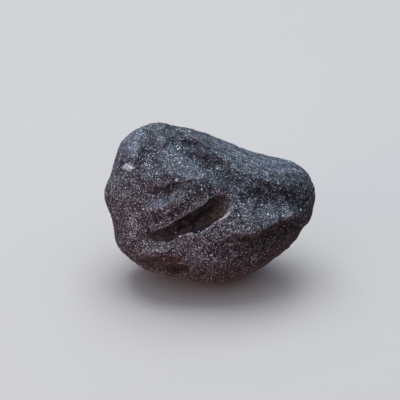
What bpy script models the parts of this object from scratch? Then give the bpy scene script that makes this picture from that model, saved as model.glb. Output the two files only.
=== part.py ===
"""A tektite: one lump of black natural glass, 42 mm long, with the folds, furrow and pits of its kind.

The stone is shaped with its long side along X, its broad side up Y and its face towards Z. The object is
then leaned back onto its belly, where a small worn flat lets it rest with the face looking a little up.
"""

import math

import bmesh
import bpy
import numpy as np
from mathutils import Matrix, Vector, noise
from mathutils.bvhtree import BVHTree

MM = 0.001

# Driving dimensions
LENGTH = 42.0 * MM  # from the blunt end to the tip
LEAN_BACK = math.radians(28.0)  # how far the face looks up when the stone rests
BELLY_FLAT_DEPTH = 0.9 * MM  # what the worn flat takes off the lowest point
MOST_TRIANGLES = 9000
BALL_SUBDIVISIONS = 7
BODY_SMOOTHING = 6
RELIEF_SMOOTHING = 5

# Outline of the broad side, as (along, up) in millimetres from the middle, anticlockwise from the tip
OUTLINE_MM = (
    (21.0, 2.2), (19.5, 6.0), (15.7, 8.5), (9.6, 10.0), (0.4, 13.2), (-5.7, 15.0), (-11.2, 15.9),
    (-14.9, 14.8), (-18.0, 11.6), (-19.4, 6.5), (-21.0, 1.9), (-20.2, -1.4), (-19.4, -3.9), (-18.3, -8.9),
    (-14.6, -12.2), (-10.3, -14.0), (-4.5, -14.7), (-0.2, -16.0), (5.0, -14.9), (10.5, -12.5),
    (14.2, -9.9), (16.8, -7.1), (17.9, -5.2), (20.0, -2.7),
)

# Half thickness along the stone, as (along, towards the face, towards the back)
THICKNESS_MM = ((-21.0, 11.0, 12.0), (-8.0, 12.5, 13.5), (6.0, 12.0, 13.0), (21.0, 8.5, 9.0))

# How square the face's shoulder is at a direction round the outline in degrees: 1 is an ellipse, 0 a box
SHOULDER = (
    (0, 0.85), (45, 0.9), (75, 0.8), (95, 0.45), (115, 0.32), (135, 0.35), (155, 0.55), (190, 0.7),
    (235, 0.75), (270, 0.8), (320, 0.8),
)
BACK_SHOULDER = 0.8

# Planes the stone is worn flatter against: a point on the plane, its outward direction, the share kept
WORN_PLANES_MM = {
    "crest": ((7.5, 9.4, 5.85), (0.4, 0.74, 0.81), 0.35),
    "left_top": ((-16.5, 11.0, 7.2), (-0.5, 0.62, 0.6), 0.35),
    "lower_left": ((-10.0, -9.9, 9.6), (-0.25, -0.80, 0.55), 0.35),
    "lower_right": ((14.5, -5.5, 7.5), (0.62, -0.55, 0.56), 0.45),
    "back": ((0.0, 0.0, -11.2), (0.10, 0.12, -1.0), 0.45),
    "upper_back": ((-2.0, 10.5, -7.0), (-0.10, 0.75, -0.65), 0.45),
    "blunt_back": ((-15.0, 0.0, -7.5), (-0.75, 0.05, -0.65), 0.45),
    "tip_back": ((14.0, -2.0, -6.5), (0.72, -0.15, -0.68), 0.5),
}

# Folds in the face, as points of a path: (along, up, height, reach above the path, reach below it)
FACE_FOLDS_MM = {
    "left_rim": (
        (-15.6, 14.0, 0.0, 2.0, 2.0), (-14.9, 12.4, 0.8, 1.1, 2.6), (-14.7, 9.6, 1.0, 1.1, 2.6),
        (-15.2, 6.4, 0.0, 2.0, 2.0),
    ),
    "left_gutter": (
        (-11.6, 15.2, 0.0, 1.6, 1.6), (-12.7, 12.8, -1.0, 1.8, 1.3), (-12.7, 10.0, -1.2, 1.8, 1.3),
        (-11.8, 7.2, -0.8, 1.5, 1.3), (-11.0, 5.6, 0.0, 1.0, 1.0),
    ),
    "crest": (
        (-7.5, 15.5, 0.0, 2.0, 1.3), (-5.0, 13.3, 1.1, 2.0, 1.2), (-1.8, 10.9, 1.3, 2.3, 1.2),
        (1.4, 8.7, 1.2, 2.5, 1.2), (4.6, 7.0, 1.1, 2.6, 1.2), (8.0, 5.6, 1.0, 2.6, 1.3),
        (12.0, 4.7, 0.8, 2.6, 1.2), (16.5, 3.8, 0.5, 2.4, 1.2), (19.5, 3.0, 0.0, 2.0, 1.0),
    ),
    "gully": (
        (-10.0, 14.6, 0.0, 2.0, 2.0), (-8.2, 12.8, -1.2, 2.0, 2.4), (-5.2, 10.7, -1.9, 2.0, 2.6),
        (-2.0, 8.5, -1.9, 2.0, 2.3), (1.6, 6.4, -1.5, 1.9, 1.7), (5.0, 5.0, -0.9, 1.5, 1.3),
        (8.5, 4.1, 0.0, 1.0, 1.2),
    ),
    "brow": (
        (-13.0, 5.0, 0.0, 2.0, 1.2), (-10.0, 4.6, 1.2, 3.4, 1.2), (-6.8, 4.6, 1.7, 3.4, 1.3),
        (-3.5, 4.7, 1.5, 2.8, 1.6), (-0.8, 4.6, 1.0, 2.2, 1.7), (2.2, 4.4, 0.4, 1.6, 1.5),
        (5.0, 4.2, 0.0, 1.2, 1.0),
    ),
    "dent": (
        (-14.0, 0.8, 0.0, 1.0, 1.0), (-12.0, 1.5, -0.7, 0.9, 1.4), (-9.6, 2.3, -1.3, 0.9, 1.7),
        (-7.0, 3.2, -1.0, 0.9, 1.5), (-4.2, 4.2, 0.0, 0.8, 1.2),
    ),
    "fold": (
        (-13.5, -1.8, 0.0, 2.0, 1.5), (-11.4, -1.3, 0.8, 1.6, 1.3), (-8.5, -0.4, 1.1, 1.6, 1.2),
        (-5.5, 1.1, 1.1, 1.5, 1.1), (-2.8, 2.3, 0.8, 1.2, 1.1), (1.0, 3.2, 0.5, 1.2, 1.2),
        (4.0, 2.6, 0.0, 1.0, 1.0),
    ),
    "furrow_side": (
        (-15.0, -6.0, 0.0, 1.5, 1.0), (-11.0, -5.5, -0.5, 1.8, 0.7), (-6.7, -4.0, -0.8, 2.0, 0.7),
        (-2.7, -2.2, -0.9, 2.2, 0.6), (1.0, -0.4, -0.8, 2.0, 0.7), (4.5, 0.4, 0.0, 1.5, 1.0),
    ),
    "under_crest": (
        (2.5, 2.6, 0.0, 1.5, 2.0), (5.5, 2.2, -0.72, 1.5, 2.2), (9.0, 1.2, -1.2, 1.6, 2.4),
        (13.0, 0.4, -1.2, 1.6, 2.2), (17.0, 0.2, -0.6, 1.6, 1.8), (20.0, 0.5, 0.0, 1.0, 1.0),
    ),
    "cheek": (
        (-4.5, -8.6, 0.0, 2.0, 2.0), (-1.5, -7.6, 0.5, 2.4, 1.6), (1.8, -6.3, 0.9, 2.8, 1.6),
        (5.3, -5.4, 1.2, 3.0, 1.5), (8.6, -5.0, 1.6, 3.2, 1.4), (11.5, -3.9, 1.6, 2.8, 1.3),
        (14.0, -2.7, 1.2, 2.2, 1.2), (17.0, -1.5, 0.6, 1.6, 1.2), (19.3, -1.0, 0.0, 1.0, 1.0),
    ),
    "top_hollow": (
        (-13.5, 12.4, 0.0, 2.0, 2.0), (-11.6, 10.8, -0.5, 2.0, 2.2), (-9.6, 9.4, -0.5, 2.0, 2.0),
        (-7.4, 8.2, 0.0, 1.5, 2.0),
    ),
    "lip": (
        (4.4, 3.2, 0.0, 0.6, 0.6), (5.0, 1.0, 0.15, 0.6, 0.6), (4.5, -1.2, 0.25, 0.6, 0.7),
        (3.0, -2.8, 0.25, 0.6, 0.8), (0.2, -4.5, 0.2, 0.6, 0.8), (-1.8, -6.1, 0.2, 0.6, 0.8),
        (-4.0, -6.2, 0.3, 0.6, 0.8), (-6.5, -6.9, 0.0, 0.6, 0.6),
    ),
    "scoop": (
        (-15.0, -6.5, 0.0, 1.5, 1.2), (-12.5, -7.2, -0.96, 1.8, 1.3), (-9.8, -7.5, -1.32, 1.8, 1.3),
        (-7.2, -7.2, -1.08, 1.5, 1.1), (-5.5, -6.5, 0.0, 1.2, 1.0),
    ),
    "scoop_lip": (
        (-14.5, -9.7, 0.0, 1.0, 0.8), (-12.5, -9.7, 0.56, 0.8, 0.6), (-9.6, -9.4, 0.7, 0.8, 0.6),
        (-8.0, -8.9, 0.7, 0.8, 0.7), (-6.6, -10.0, 0.56, 0.8, 0.8), (-5.2, -11.3, 0.0, 0.8, 0.8),
    ),
    "chin": (
        (-6.0, -10.0, 0.0, 2.0, 2.0), (-3.5, -11.0, 0.8, 2.4, 2.0), (-0.5, -11.4, 0.9, 2.8, 2.2),
        (2.5, -11.0, 0.5, 2.8, 2.5), (5.5, -9.8, 0.0, 3.0, 2.0),
    ),
}

# Folds in the back, in the same terms and seen from the face
BACK_FOLDS_MM = {
    "long_groove": (
        (-13.0, 6.5, 0.0, 1.2, 1.4), (-9.0, 7.6, -0.8, 1.2, 1.6), (-3.0, 8.0, -1.2, 1.2, 1.8),
        (3.5, 6.3, -1.1, 1.2, 1.8), (9.0, 3.4, -0.7, 1.2, 1.6), (13.0, 0.6, 0.0, 1.0, 1.2),
    ),
    "short_groove": (
        (-11.0, -5.0, 0.0, 1.0, 1.2), (-7.0, -5.8, -0.8, 1.0, 1.4), (-2.0, -5.2, -0.9, 1.0, 1.4),
        (3.0, -6.4, 0.0, 1.0, 1.2),
    ),
    "spine": (
        (-15.0, 0.5, 0.0, 3.0, 3.0), (-8.0, 2.0, 0.7, 3.2, 3.4), (0.0, 1.4, 0.9, 3.4, 3.6),
        (8.0, -1.6, 0.6, 3.2, 3.2), (15.0, -3.0, 0.0, 2.5, 2.5),
    ),
}

# Round pits: direction from the middle, radius, depth
PITS_MM = (
    ((0.42, 0.02, -1.0), 3.4, 1.3), ((-0.62, 0.02, -1.0), 2.7, 1.0), ((-0.15, 0.85, -0.8), 2.3, 0.7),
    ((0.95, -0.15, -0.5), 1.9, 0.6), ((-1.0, 0.30, -0.4), 2.4, 0.7), ((0.30, -0.55, -1.0), 1.6, 0.6),
    ((0.55, 0.75, -0.45), 2.2, 0.6), ((-0.75, -0.60, -0.45), 2.5, 0.8), ((-0.45, 1.0, -0.15), 1.6, 0.4),
    ((0.70, -0.75, -0.2), 2.2, 0.6), ((-0.95, -0.10, -0.75), 1.5, 0.5), ((0.05, 0.35, -1.0), 1.4, 0.5),
    ((0.85, 0.25, -0.75), 1.5, 0.5), ((-0.25, -0.30, -1.0), 1.8, 0.6), ((0.15, 1.0, -0.5), 1.4, 0.4),
)

# Low lumps all over: size, rise
LUMPS_MM = ((7.0, 0.4), (3.0, 0.22))

# Grooves cut deep into the face: (along, up, half width above, half width below, depth) down the middle
FURROW_MM = (
    (-13.8, -6.2, 0.3, 0.3, 0.5), (-11.5, -6.1, 0.75, 0.85, 1.5), (-8.5, -5.4, 1.0, 1.5, 2.8),
    (-5.5, -4.1, 1.1, 1.7, 3.8), (-4.0, -3.35, 1.3, 2.5, 4.2), (-2.5, -2.6, 1.6, 2.7, 4.6),
    (0.0, -1.2, 2.0, 2.4, 4.6), (2.2, -0.1, 2.3, 2.15, 3.6), (4.3, 0.9, 2.0, 2.0, 2.4),
)
FURROW_HEADING = (0.0, -0.55, -0.84)
NAVEL_MM = (
    (-10.6, -13.3, 0.2, 0.3, 0.6), (-9.0, -13.3, 0.9, 0.5, 1.2), (-7.9, -13.2, 1.5, 0.5, 1.8),
    (-6.7, -13.1, 1.8, 0.6, 2.2), (-5.6, -13.1, 1.6, 0.6, 2.2), (-4.2, -13.3, 1.4, 0.5, 1.6),
)
NAVEL_HEADING = (-0.15, -0.1, -0.98)
CUTTER_PROUD = 1.5 * MM
RIM_GAP = 0.01 * MM  # points on the rim of a groove closer than this are joined

GLASS_COLOUR = (0.018, 0.017, 0.018, 1.0)
GLASS_ROUGHNESS = 0.5


def clear_scene():
    for old in list(bpy.data.objects):
        bpy.data.objects.remove(old, do_unlink=True)


def new_collection(name):
    collection = bpy.data.collections.new(name)
    bpy.context.scene.collection.children.link(collection)
    return collection


def glass_material():
    material = bpy.data.materials.new("tektite_glass")
    material.use_nodes = True
    shader = material.node_tree.nodes["Principled BSDF"]
    shader.inputs["Base Color"].default_value = GLASS_COLOUR
    shader.inputs["Roughness"].default_value = GLASS_ROUGHNESS
    shader.inputs["Metallic"].default_value = 0.0
    return material


def smooth_path(rows, closed, steps):
    """Points of a Catmull-Rom curve through the rows, in metres, with every column carried along."""
    rows = np.array(rows) * MM
    count = len(rows)
    sampled = []
    for span in range(count if closed else count - 1):
        picks = np.arange(span - 1, span + 3)
        picks = picks % count if closed else np.clip(picks, 0, count - 1)
        before, start, end, after = rows[picks]
        for t in np.linspace(0.0, 1.0, steps, endpoint=False):
            bend = 2 * before - 5 * start + 4 * end - after
            twist = 3 * start - before - 3 * end + after
            sampled.append(0.5 * (2 * start + (end - before) * t + bend * t ** 2 + twist * t ** 3))
    if not closed:
        sampled.append(rows[-1])
    return np.array(sampled)


def outline_radius(angles):
    path = smooth_path(OUTLINE_MM, closed=True, steps=12)
    around = np.arctan2(path[:, 1], path[:, 0])
    order = np.argsort(around)
    radius = np.hypot(path[:, 0], path[:, 1])
    return np.interp(angles, around[order], radius[order], period=2 * math.pi)


def body_points(ball):
    """Where the points of a unit ball lie on the smooth body."""
    angle = np.arctan2(ball[:, 1], ball[:, 0])
    directions, squareness = np.array(SHOULDER).T
    front_power = np.interp(np.degrees(angle), directions, squareness, period=360)
    turn_to_back = np.clip(-3 * ball[:, 2], 0, 1)
    power = front_power + (BACK_SHOULDER - front_power) * turn_to_back
    reach = outline_radius(angle) * np.hypot(ball[:, 0], ball[:, 1]) ** power
    along = reach * np.cos(angle)
    stations, front, back = np.array(THICKNESS_MM).T * MM
    thickness_front = np.interp(along, stations, front)
    thickness = np.where(ball[:, 2] > 0, thickness_front, np.interp(along, stations, back))
    out = np.sign(ball[:, 2]) * np.abs(ball[:, 2]) ** power * thickness
    return np.column_stack((along, reach * np.sin(angle), out))


def worn(points, place, outward, kept):
    """Presses what stands beyond a plane back towards it."""
    normal = np.array(Vector(outward).normalized())
    beyond = np.maximum((points - np.array(place) * MM) @ normal, 0)
    return points - np.outer(beyond * (1 - kept), normal)


def fold_height(points, rows):
    """How far a fold lifts or sinks each point, going by its distance from the path seen square on."""
    path = smooth_path(rows, closed=False, steps=8)
    nearest = np.full(len(points), np.inf)
    height = np.zeros(len(points))
    reach = np.ones(len(points))
    for start, end in zip(path[:-1], path[1:]):
        along = end[:2] - start[:2]
        offset = points[:, :2] - start[:2]
        share = np.clip(offset @ along / (along @ along), 0, 1)
        gap = offset - np.outer(share, along)
        distance = np.hypot(gap[:, 0], gap[:, 1])
        row = start + np.outer(share, end - start)
        is_above = gap[:, 1] * along[0] > gap[:, 0] * along[1]
        is_nearer = distance < nearest
        nearest = np.where(is_nearer, distance, nearest)
        height = np.where(is_nearer, row[:, 2], height)
        reach = np.where(is_nearer, np.where(is_above, row[:, 3], row[:, 4]), reach)
    return height * np.exp(-((nearest / reach) ** 2))


def pit_height(points, direction, radius, depth):
    """A round bowl where a direction from the middle meets the surface."""
    towards = points @ np.array(Vector(direction).normalized()) / np.linalg.norm(points, axis=1)
    centre = points[np.argmax(towards)]
    distance = np.linalg.norm(points - centre, axis=1) / (radius * MM)
    return -depth * MM * np.clip(1 - distance ** 2, 0, 1) ** 1.5


def lump_height(points):
    height = np.zeros(len(points))
    for size, rise in LUMPS_MM:
        height += [rise * MM * noise.noise(Vector(point) / (size * MM)) for point in points]
    return height


def relief_height(points, ball):
    """Everything that stands up from the smooth body or is sunk into it, measured square to it."""
    face_share = np.clip((ball[:, 2] + 0.1) / 0.4, 0, 1)
    back_share = np.clip((-ball[:, 2] - 0.1) / 0.4, 0, 1)
    height = lump_height(points)
    for rows in FACE_FOLDS_MM.values():
        height += fold_height(points, rows) * face_share
    for rows in BACK_FOLDS_MM.values():
        height += fold_height(points, rows) * back_share
    for direction, radius, depth in PITS_MM:
        height += pit_height(points, direction, radius, depth)
    return height


def set_points(shape, points):
    for vert, point in zip(shape.verts, points):
        vert.co = point
    shape.normal_update()


def get_points(shape):
    return np.array([vert.co for vert in shape.verts])


def smooth(shape, rounds):
    for _ in range(rounds):
        bmesh.ops.smooth_vert(
            shape, verts=shape.verts, factor=0.5, use_axis_x=True, use_axis_y=True, use_axis_z=True
        )
    shape.normal_update()


def make_body(collection):
    """The stone without its deep grooves, and a tree of its surface to lay the groove cutters on."""
    shape = bmesh.new()
    bmesh.ops.create_icosphere(shape, subdivisions=BALL_SUBDIVISIONS, radius=1.0)
    ball = get_points(shape)
    points = body_points(ball)
    for place, outward, kept in WORN_PLANES_MM.values():
        points = worn(points, place, outward, kept)
    set_points(shape, points)
    smooth(shape, BODY_SMOOTHING)
    points = get_points(shape)
    normals = np.array([vert.normal for vert in shape.verts])
    set_points(shape, points + normals * relief_height(points, ball)[:, None])
    smooth(shape, RELIEF_SMOOTHING)
    tree = BVHTree.FromBMesh(shape)
    mesh = bpy.data.meshes.new("tektite")
    shape.to_mesh(mesh)
    shape.free()
    mesh.materials.append(glass_material())
    body = bpy.data.objects.new("tektite", mesh)
    collection.objects.link(body)
    return body, tree


def surface_height(tree, along, up):
    place = tree.ray_cast(Vector((along, up, LENGTH)), Vector((0, 0, -1)))[0]
    return place.z if place else 0.0


def groove_shape(rows, heading, tree):
    """A blunt lens that follows a path on the face and runs into the stone along its heading."""
    shape = bmesh.new()
    bmesh.ops.create_icosphere(shape, subdivisions=5, radius=1.0)
    share, side, out = get_points(shape).T
    blunt = (1 - np.minimum(np.abs(share), 1) ** 3) ** (1 / 3) / np.maximum(np.hypot(side, out), 1e-6)
    side = side * blunt
    out = out * blunt
    path = smooth_path(rows, closed=False, steps=12)
    stations = np.linspace(-1, 1, len(path))
    along, up, above, below, depth = (np.interp(share, stations, column) for column in path.T)
    ahead = np.gradient(path[:, :2], axis=0)
    ahead /= np.linalg.norm(ahead, axis=1)[:, None]
    width = side * np.where(side > 0, above, below)
    along = along - width * np.interp(share, stations, ahead[:, 1])
    up = up + width * np.interp(share, stations, ahead[:, 0])
    surface = [surface_height(tree, *place) for place in zip(along, up)]
    inward = np.array(Vector(heading).normalized())
    travel = out * np.where(out > 0, CUTTER_PROUD, depth)
    set_points(shape, np.column_stack((along, up, surface)) - np.outer(travel, inward))
    return shape


def belly_block(body):
    """A block whose top lies just above the lowest point of the leaned stone."""
    lean = math.pi / 2 - LEAN_BACK
    down = Vector((0, -math.sin(lean), -math.cos(lean)))
    lowest = max(down.dot(vert.co) for vert in body.data.vertices)
    shape = bmesh.new()
    bmesh.ops.create_cube(shape, size=LENGTH)
    turn = Matrix.Rotation(-lean, 3, "X")
    bmesh.ops.rotate(shape, verts=shape.verts, cent=(0, 0, 0), matrix=turn)
    bmesh.ops.translate(shape, verts=shape.verts, vec=down * (lowest - BELLY_FLAT_DEPTH + LENGTH / 2))
    return shape


def cut_away(body, name, shape, collection):
    """Takes a closed shape out of the body and keeps it as a hidden cutter."""
    mesh = bpy.data.meshes.new(name)
    shape.to_mesh(mesh)
    shape.free()
    cutter = bpy.data.objects.new(name, mesh)
    cutter.hide_render = True
    cutter.display_type = "WIRE"
    cutter.parent = body
    collection.objects.link(cutter)
    cut = body.modifiers.new(name, "BOOLEAN")
    cut.operation = "DIFFERENCE"
    cut.solver = "EXACT"
    cut.object = cutter


def join_close_points(body, name):
    """Joins the crowded points that a cut leaves along its rim."""
    weld = body.modifiers.new(name, "WELD")
    weld.merge_threshold = RIM_GAP


def thin_out(body):
    """Leaves as few triangles as the shape needs."""
    depsgraph = bpy.context.evaluated_depsgraph_get()
    evaluated = body.evaluated_get(depsgraph)
    evaluated.data.calc_loop_triangles()
    thin = body.modifiers.new("thin", "DECIMATE")
    thin.use_collapse_triangulate = True
    thin.ratio = MOST_TRIANGLES / len(evaluated.data.loop_triangles)


def rest_on_belly(body):
    """Leans the stone back and puts the middle of its footprint over the origin, on the ground."""
    body.rotation_euler.x = math.pi / 2 - LEAN_BACK
    bpy.context.view_layer.update()
    evaluated = body.evaluated_get(bpy.context.evaluated_depsgraph_get())
    places = np.array([evaluated.matrix_world @ vert.co for vert in evaluated.data.vertices])
    middle = (places.min(axis=0) + places.max(axis=0)) / 2
    body.location = (-middle[0], -middle[1], -places[:, 2].min())


def main():
    clear_scene()
    collection = new_collection("tektite")
    cutters = new_collection("tektite_cutters")
    body, tree = make_body(collection)
    cut_away(body, "furrow", groove_shape(FURROW_MM, FURROW_HEADING, tree), cutters)
    join_close_points(body, "furrow_rim")
    cut_away(body, "navel", groove_shape(NAVEL_MM, NAVEL_HEADING, tree), cutters)
    join_close_points(body, "navel_rim")
    thin_out(body)
    cut_away(body, "belly_flat", belly_block(body), cutters)
    rest_on_belly(body)


main()
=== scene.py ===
"""A tektite at rest: black natural glass with a frosted, pitted skin, on a pale studio floor.

Lengths marked "across", "up" and "out" are in the stone's own frame: across its long side, up its broad
side and out of its face. The stone leans back from that frame until it rests on its belly.
"""

import math
from types import SimpleNamespace

import bmesh
import bpy
import numpy as np
from bpy.props import FloatProperty, FloatVectorProperty, IntProperty, PointerProperty
from mathutils import Matrix, Vector, noise
from mathutils.bvhtree import BVHTree
from mathutils.kdtree import KDTree


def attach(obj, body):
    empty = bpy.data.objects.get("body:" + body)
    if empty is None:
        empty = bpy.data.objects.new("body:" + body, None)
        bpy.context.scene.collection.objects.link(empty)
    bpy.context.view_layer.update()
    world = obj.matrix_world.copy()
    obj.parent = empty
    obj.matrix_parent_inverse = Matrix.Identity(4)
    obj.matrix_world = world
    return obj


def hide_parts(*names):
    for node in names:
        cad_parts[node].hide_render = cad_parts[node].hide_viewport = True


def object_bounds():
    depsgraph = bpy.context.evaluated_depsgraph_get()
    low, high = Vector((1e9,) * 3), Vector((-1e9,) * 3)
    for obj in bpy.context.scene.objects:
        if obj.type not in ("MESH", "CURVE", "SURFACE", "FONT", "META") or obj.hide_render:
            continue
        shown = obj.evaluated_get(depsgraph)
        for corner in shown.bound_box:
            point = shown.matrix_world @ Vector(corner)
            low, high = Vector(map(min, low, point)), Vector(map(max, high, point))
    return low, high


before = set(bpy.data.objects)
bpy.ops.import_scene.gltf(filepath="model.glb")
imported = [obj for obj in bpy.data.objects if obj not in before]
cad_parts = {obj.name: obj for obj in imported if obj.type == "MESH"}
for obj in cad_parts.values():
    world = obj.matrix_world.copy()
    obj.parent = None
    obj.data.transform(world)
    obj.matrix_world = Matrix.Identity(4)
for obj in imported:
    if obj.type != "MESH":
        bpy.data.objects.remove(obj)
CAD_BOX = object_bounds()

bl_info = {
    "name": "Tektite",
    "version": (1, 0, 0),
    "blender": (4, 5, 0),
    "location": "View3D > Sidebar > Tektite",
    "description": "Builds a tektite of black natural glass, with its studio",
    "category": "Add Mesh",
}

MM = 0.001
CURVE_STEPS = 8

# How the stone's own frame lies in the room
LEAN_BACK = math.radians(28.0)
STONE_MIDDLE = Vector((0.0678, 0.8388, 15.1073)) * MM
FROM_STONE = Matrix.Translation(STONE_MIDDLE) @ Matrix.Rotation(math.pi / 2 - LEAN_BACK, 4, "X")
TO_STONE = FROM_STONE.inverted()
STONE_UP = Vector((0, math.sin(LEAN_BACK), math.cos(LEAN_BACK)))
STONE_OUT = Vector((0, -math.cos(LEAN_BACK), math.sin(LEAN_BACK)))

# Relief of the skin. Lengths in the tables are millimetres in the stone's own frame.

# Edges and hollows of the folds, as points of a path: (across, up, rise, reach above it, reach below it).
# Above is to the left of the path as it runs. A rise under 0 is a hollow.
EDGES_MM = {
    "furrow_upper_lip": (
        (-12.4, -6.1, 0.0, 0.5, 0.6), (-9.1, -4.5, 0.22, 0.6, 0.8), (-6.6, -3.2, 0.28, 0.6, 1.0),
        (-4.1, -1.7, 0.3, 0.6, 1.0), (-1.6, -0.2, 0.28, 0.6, 1.0), (0.0, 1.1, 0.22, 0.6, 0.8),
        (1.9, 2.1, 0.14, 0.5, 0.6), (3.4, 1.6, 0.08, 0.4, 0.5), (3.9, 0.2, 0.0, 0.3, 0.4),
    ),
    "furrow_lower_lip": (
        (-6.9, -7.3, 0.0, 0.3, 0.5), (-6.3, -6.3, 0.4, 0.3, 0.6), (-5.0, -5.7, 0.55, 0.35, 0.8),
        (-4.0, -5.6, 0.45, 0.3, 0.7), (-3.0, -5.9, 0.05, 0.3, 0.6), (-2.0, -5.5, 0.1, 0.3, 0.6),
        (1.0, -3.6, 0.22, 0.3, 0.6), (3.4, -2.0, 0.28, 0.3, 0.6), (4.5, -0.6, 0.1, 0.3, 0.6),
        (4.9, 1.2, 0.0, 0.3, 0.5),
    ),
    "furrow_floor": (
        (-8.8, -6.0, 0.0, 0.8, 0.8), (-6.0, -4.9, -0.35, 0.9, 0.9), (-3.0, -3.7, -0.4, 1.0, 1.0),
        (0.0, -2.1, -0.35, 0.9, 0.9), (2.4, -0.8, 0.0, 0.8, 0.8),
    ),
    "brow_edge": (
        (-12.5, 3.6, 0.0, 1.0, 0.4), (-10.4, 3.3, 0.32, 1.6, 0.45), (-7.4, 3.9, 0.42, 1.6, 0.45),
        (-4.6, 4.5, 0.22, 1.4, 0.45), (-1.5, 4.8, 0.1, 1.0, 0.4), (2.0, 4.6, 0.0, 0.8, 0.4),
    ),
    "dent_edge": (
        (-12.6, -1.4, 0.0, 0.8, 0.6), (-10.6, -0.9, 0.25, 1.3, 0.7), (-8.0, 0.1, 0.46, 1.4, 0.7),
        (-5.6, 1.3, 0.25, 1.2, 0.7), (-3.8, 2.3, 0.0, 0.8, 0.6),
    ),
    "crest_edge": (
        (-7.0, 15.3, 0.0, 1.0, 0.5), (-4.4, 13.4, 0.26, 1.2, 0.5), (-1.4, 11.3, 0.36, 1.2, 0.5),
        (1.8, 9.0, 0.36, 1.2, 0.5), (5.0, 7.2, 0.3, 1.2, 0.5), (8.4, 5.5, 0.3, 1.2, 0.5),
        (12.0, 4.1, 0.3, 1.2, 0.5), (16.5, 2.4, 0.0, 1.0, 0.5),
    ),
    "gully_floor": (
        (-9.0, 15.4, 0.0, 1.4, 1.4), (-6.8, 13.9, -0.5, 1.6, 1.4), (-4.2, 12.0, -0.4, 1.4, 1.2),
        (-1.0, 9.8, 0.0, 1.0, 1.0),
    ),
    "gully_fill": ((2.2, 7.6, 0.0, 0.9, 0.9), (4.6, 6.3, 0.3, 1.0, 1.0), (7.4, 5.2, 0.0, 0.9, 0.9)),
    "scoop_ridge": (
        (-13.4, -9.6, 0.0, 0.8, 0.6), (-12.1, -9.5, 0.24, 1.2, 0.6), (-10.1, -9.5, 0.36, 1.2, 0.6),
        (-8.4, -9.3, 0.36, 1.1, 0.6), (-7.2, -8.5, 0.3, 0.8, 0.6), (-6.5, -7.4, 0.0, 0.5, 0.5),
    ),
    "chin_edge": (
        (-7.4, -8.8, 0.0, 0.6, 0.6), (-6.6, -9.8, 0.28, 0.8, 0.6), (-5.3, -10.8, 0.28, 0.8, 0.6),
        (-3.9, -11.3, 0.0, 0.6, 0.6),
    ),
    "navel_arch": (
        (-9.0, -12.6, 0.0, 0.4, 0.3), (-8.1, -12.0, 0.3, 0.5, 0.3), (-6.9, -11.5, 0.4, 0.6, 0.35),
        (-6.0, -11.4, 0.44, 0.6, 0.4), (-5.0, -11.8, 0.44, 0.6, 0.4), (-4.3, -12.6, 0.38, 0.6, 0.3),
        (-3.9, -13.6, 0.0, 0.4, 0.3),
    ),
    "cheek_ledge": (
        (-1.0, -8.0, 0.0, 0.8, 0.6), (3.0, -6.8, 0.2, 1.4, 0.6), (7.0, -6.0, 0.3, 1.6, 0.6),
        (11.0, -4.6, 0.34, 1.6, 0.6), (14.6, -2.9, 0.24, 1.2, 0.6), (17.0, -1.8, 0.0, 0.8, 0.6),
    ),
    "gutter": (
        (-11.8, 14.6, 0.0, 1.2, 1.2), (-12.3, 12.4, -0.2, 1.3, 1.2), (-12.3, 10.4, -0.25, 1.3, 1.2),
        (-12.0, 8.0, -0.2, 1.3, 1.2), (-11.2, 6.0, 0.0, 1.2, 1.2),
    ),
    "facet_rim": (
        (-13.4, 14.6, 0.0, 0.8, 0.8), (-13.9, 12.8, 0.3, 0.5, 1.2), (-14.0, 10.4, 0.34, 0.5, 1.2),
        (-14.4, 8.4, 0.0, 0.8, 0.8),
    ),
}

# Edges that stay crisp, and how far these and the worn ones wander: (reach, size, seed)
CRISP_EDGES = ("furrow_upper_lip", "furrow_lower_lip")
CRISP_WANDER = (0.16 * MM, 1.6 * MM, 21)
WORN_WANDER = (0.3 * MM, 1.6 * MM, 21)

# How far the skin drops just below an edge, as a share of its rise above. Under 0 it rises there too.
DROPS = {
    "furrow_upper_lip": 1.5, "furrow_lower_lip": -1.0, "furrow_floor": -1.0, "brow_edge": 0.5,
    "dent_edge": -1.0, "crest_edge": 0.0, "gully_floor": -1.0, "gully_fill": -1.0, "scoop_ridge": 0.1,
    "chin_edge": -0.3, "navel_arch": 1.0, "cheek_ledge": -0.6, "gutter": -1.0, "facet_rim": -1.0,
}

# The mouth of the furrow, all the way round: (across, up)
FURROW_MOUTH_MM = (
    (-12.6, -6.2), (-9.1, -4.5), (-6.6, -3.2), (-4.1, -1.7), (-1.6, -0.2), (0.0, 1.1), (1.9, 2.1),
    (3.4, 1.6), (3.9, 0.2), (3.8, -1.4), (1.9, -3.0), (-0.1, -4.0), (-1.6, -5.0), (-2.3, -5.7),
    (-3.8, -5.5), (-5.6, -6.2), (-7.6, -7.4), (-10.4, -7.2), (-12.6, -6.2),
)
MOUTH_FADE = 0.3 * MM

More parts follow.
